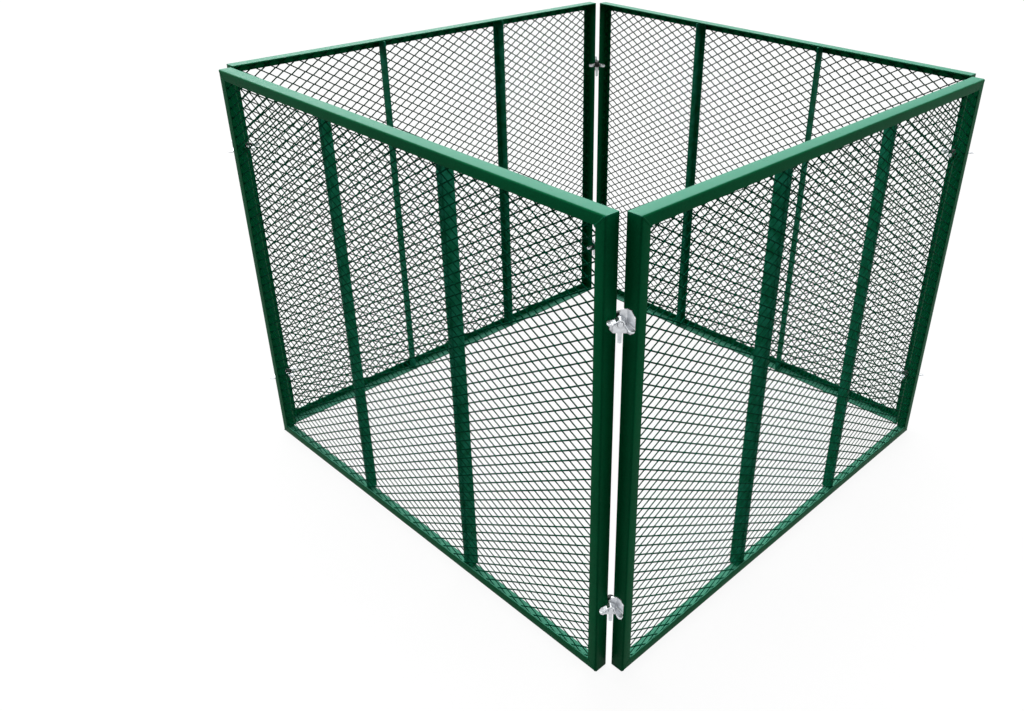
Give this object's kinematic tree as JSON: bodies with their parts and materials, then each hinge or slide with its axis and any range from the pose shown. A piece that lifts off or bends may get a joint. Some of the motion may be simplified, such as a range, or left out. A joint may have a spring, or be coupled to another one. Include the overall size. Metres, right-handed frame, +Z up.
{
  "type": "metal compost bin",
  "caption": "Open square compost bin of framed expanded metal panels, held at the corners by wing nut clamps.",
  "frame": {"origin": "middle of the footprint, on the ground", "axes": "+Z up; -Y out through the front panel, +X out through the right panel"},
  "size_m": [1.0426, 1.0426, 0.8],
  "materials": {
    "frame_paint": "semi-gloss green paint",
    "sheet_paint": "semi-gloss green paint",
    "zinc": "bright zinc plate"
  },
  "bodies": {
    "front_panel": {"front_top_rail": "frame_paint", "front_bottom_rail": "frame_paint", "front_stile_a": "frame_paint", "front_stile_b": "frame_paint", "front_stiffener_a": "frame_paint", "front_stiffener_b": "frame_paint", "front_mesh_sheet": "sheet_paint"},
    "right_panel": {"right_top_rail": "frame_paint", "right_bottom_rail": "frame_paint", "right_stile_a": "frame_paint", "right_stile_b": "frame_paint", "right_stiffener_a": "frame_paint", "right_stiffener_b": "frame_paint", "right_mesh_sheet": "sheet_paint", "front_right_low_bolt": "zinc", "front_right_high_bolt": "zinc"},
    "back_panel": {"back_top_rail": "frame_paint", "back_bottom_rail": "frame_paint", "back_stile_a": "frame_paint", "back_stile_b": "frame_paint", "back_stiffener_a": "frame_paint", "back_stiffener_b": "frame_paint", "back_mesh_sheet": "sheet_paint", "back_right_low_bolt": "zinc", "back_right_high_bolt": "zinc", "back_left_low_bolt": "zinc", "back_left_high_bolt": "zinc"},
    "left_panel": {"left_top_rail": "frame_paint", "left_bottom_rail": "frame_paint", "left_stile_a": "frame_paint", "left_stile_b": "frame_paint", "left_stiffener_a": "frame_paint", "left_stiffener_b": "frame_paint", "left_mesh_sheet": "sheet_paint", "front_left_low_bolt": "zinc", "front_left_high_bolt": "zinc"},
    "front_right_low_clamp": {"front_right_low_clamp_plate": "zinc"},
    "front_right_low_nut": {"front_right_low_wing_nut": "zinc"},
    "front_right_high_clamp": {"front_right_high_clamp_plate": "zinc"},
    "front_right_high_nut": {"front_right_high_wing_nut": "zinc"},
    "back_right_low_clamp": {"back_right_low_clamp_plate": "zinc"},
    "back_right_low_nut": {"back_right_low_wing_nut": "zinc"},
    "back_right_high_clamp": {"back_right_high_clamp_plate": "zinc"},
    "back_right_high_nut": {"back_right_high_wing_nut": "zinc"},
    "back_left_low_clamp": {"back_left_low_clamp_plate": "zinc"},
    "back_left_low_nut": {"back_left_low_wing_nut": "zinc"},
    "back_left_high_clamp": {"back_left_high_clamp_plate": "zinc"},
    "back_left_high_nut": {"back_left_high_wing_nut": "zinc"},
    "front_left_low_clamp": {"front_left_low_clamp_plate": "zinc"},
    "front_left_low_nut": {"front_left_low_wing_nut": "zinc"},
    "front_left_high_clamp": {"front_left_high_clamp_plate": "zinc"},
    "front_left_high_nut": {"front_left_high_wing_nut": "zinc"}
  },
  "joints": [
    {"name": "front_panel_lift", "type": "slide", "parent": "back_panel", "child": "front_panel", "axis": [0, 0, 1], "range_m": [0, 0.12]},
    {"name": "right_panel_lift", "type": "slide", "parent": "back_panel", "child": "right_panel", "axis": [0, 0, 1], "range_m": [0, 0.12]},
    {"name": "left_panel_lift", "type": "slide", "parent": "back_panel", "child": "left_panel", "axis": [0, 0, 1], "range_m": [0, 0.12]},
    {"name": "front_right_low_clamp_slide", "type": "slide", "parent": "right_panel", "child": "front_right_low_clamp", "axis": [0.7071, -0.7071, 0], "range_m": [0, 0.005]},
    {"name": "front_right_low_nut_turn", "type": "hinge", "parent": "front_right_low_clamp", "child": "front_right_low_nut", "pos_m": [0.4881, -0.4881, 0.14], "axis": [0.7071, -0.7071, 0], "range_deg": [0, 1440]},
    {"name": "front_right_high_clamp_slide", "type": "slide", "parent": "right_panel", "child": "front_right_high_clamp", "axis": [0.7071, -0.7071, 0], "range_m": [0, 0.005]},
    {"name": "front_right_high_nut_turn", "type": "hinge", "parent": "front_right_high_clamp", "child": "front_right_high_nut", "pos_m": [0.4881, -0.4881, 0.65], "axis": [0.7071, -0.7071, 0], "range_deg": [0, 1440]},
    {"name": "back_right_low_clamp_slide", "type": "slide", "parent": "back_panel", "child": "back_right_low_clamp", "axis": [0.7071, 0.7071, 0], "range_m": [0, 0.005]},
    {"name": "back_right_low_nut_turn", "type": "hinge", "parent": "back_right_low_clamp", "child": "back_right_low_nut", "pos_m": [0.4881, 0.4881, 0.14], "axis": [0.7071, 0.7071, 0], "range_deg": [0, 1440]},
    {"name": "back_right_high_clamp_slide", "type": "slide", "parent": "back_panel", "child": "back_right_high_clamp", "axis": [0.7071, 0.7071, 0], "range_m": [0, 0.005]},
    {"name": "back_right_high_nut_turn", "type": "hinge", "parent": "back_right_high_clamp", "child": "back_right_high_nut", "pos_m": [0.4881, 0.4881, 0.65], "axis": [0.7071, 0.7071, 0], "range_deg": [0, 1440]},
    {"name": "back_left_low_clamp_slide", "type": "slide", "parent": "back_panel", "child": "back_left_low_clamp", "axis": [-0.7071, 0.7071, 0], "range_m": [0, 0.005]},
    {"name": "back_left_low_nut_turn", "type": "hinge", "parent": "back_left_low_clamp", "child": "back_left_low_nut", "pos_m": [-0.4881, 0.4881, 0.14], "axis": [-0.7071, 0.7071, 0], "range_deg": [0, 1440]},
    {"name": "back_left_high_clamp_slide", "type": "slide", "parent": "back_panel", "child": "back_left_high_clamp", "axis": [-0.7071, 0.7071, 0], "range_m": [0, 0.005]},
    {"name": "back_left_high_nut_turn", "type": "hinge", "parent": "back_left_high_clamp", "child": "back_left_high_nut", "pos_m": [-0.4881, 0.4881, 0.65], "axis": [-0.7071, 0.7071, 0], "range_deg": [0, 1440]},
    {"name": "front_left_low_clamp_slide", "type": "slide", "parent": "left_panel", "child": "front_left_low_clamp", "axis": [-0.7071, -0.7071, 0], "range_m": [0, 0.005]},
    {"name": "front_left_low_nut_turn", "type": "hinge", "parent": "front_left_low_clamp", "child": "front_left_low_nut", "pos_m": [-0.4881, -0.4881, 0.14], "axis": [-0.7071, -0.7071, 0], "range_deg": [0, 1440]},
    {"name": "front_left_high_clamp_slide", "type": "slide", "parent": "left_panel", "child": "front_left_high_clamp", "axis": [-0.7071, -0.7071, 0], "range_m": [0, 0.005]},
    {"name": "front_left_high_nut_turn", "type": "hinge", "parent": "front_left_high_clamp", "child": "front_left_high_nut", "pos_m": [-0.4881, -0.4881, 0.65], "axis": [-0.7071, -0.7071, 0], "range_deg": [0, 1440]}
  ],
  "couplings": [
    {"joint": "front_right_low_nut_turn", "follows": "front_right_low_clamp_slide", "rad_per_m": 5026.5},
    {"joint": "front_right_high_nut_turn", "follows": "front_right_high_clamp_slide", "rad_per_m": 5026.5},
    {"joint": "back_right_low_nut_turn", "follows": "back_right_low_clamp_slide", "rad_per_m": 5026.5},
    {"joint": "back_right_high_nut_turn", "follows": "back_right_high_clamp_slide", "rad_per_m": 5026.5},
    {"joint": "back_left_low_nut_turn", "follows": "back_left_low_clamp_slide", "rad_per_m": 5026.5},
    {"joint": "back_left_high_nut_turn", "follows": "back_left_high_clamp_slide", "rad_per_m": 5026.5},
    {"joint": "front_left_low_nut_turn", "follows": "front_left_low_clamp_slide", "rad_per_m": 5026.5},
    {"joint": "front_left_high_nut_turn", "follows": "front_left_high_clamp_slide", "rad_per_m": 5026.5}
  ]
}
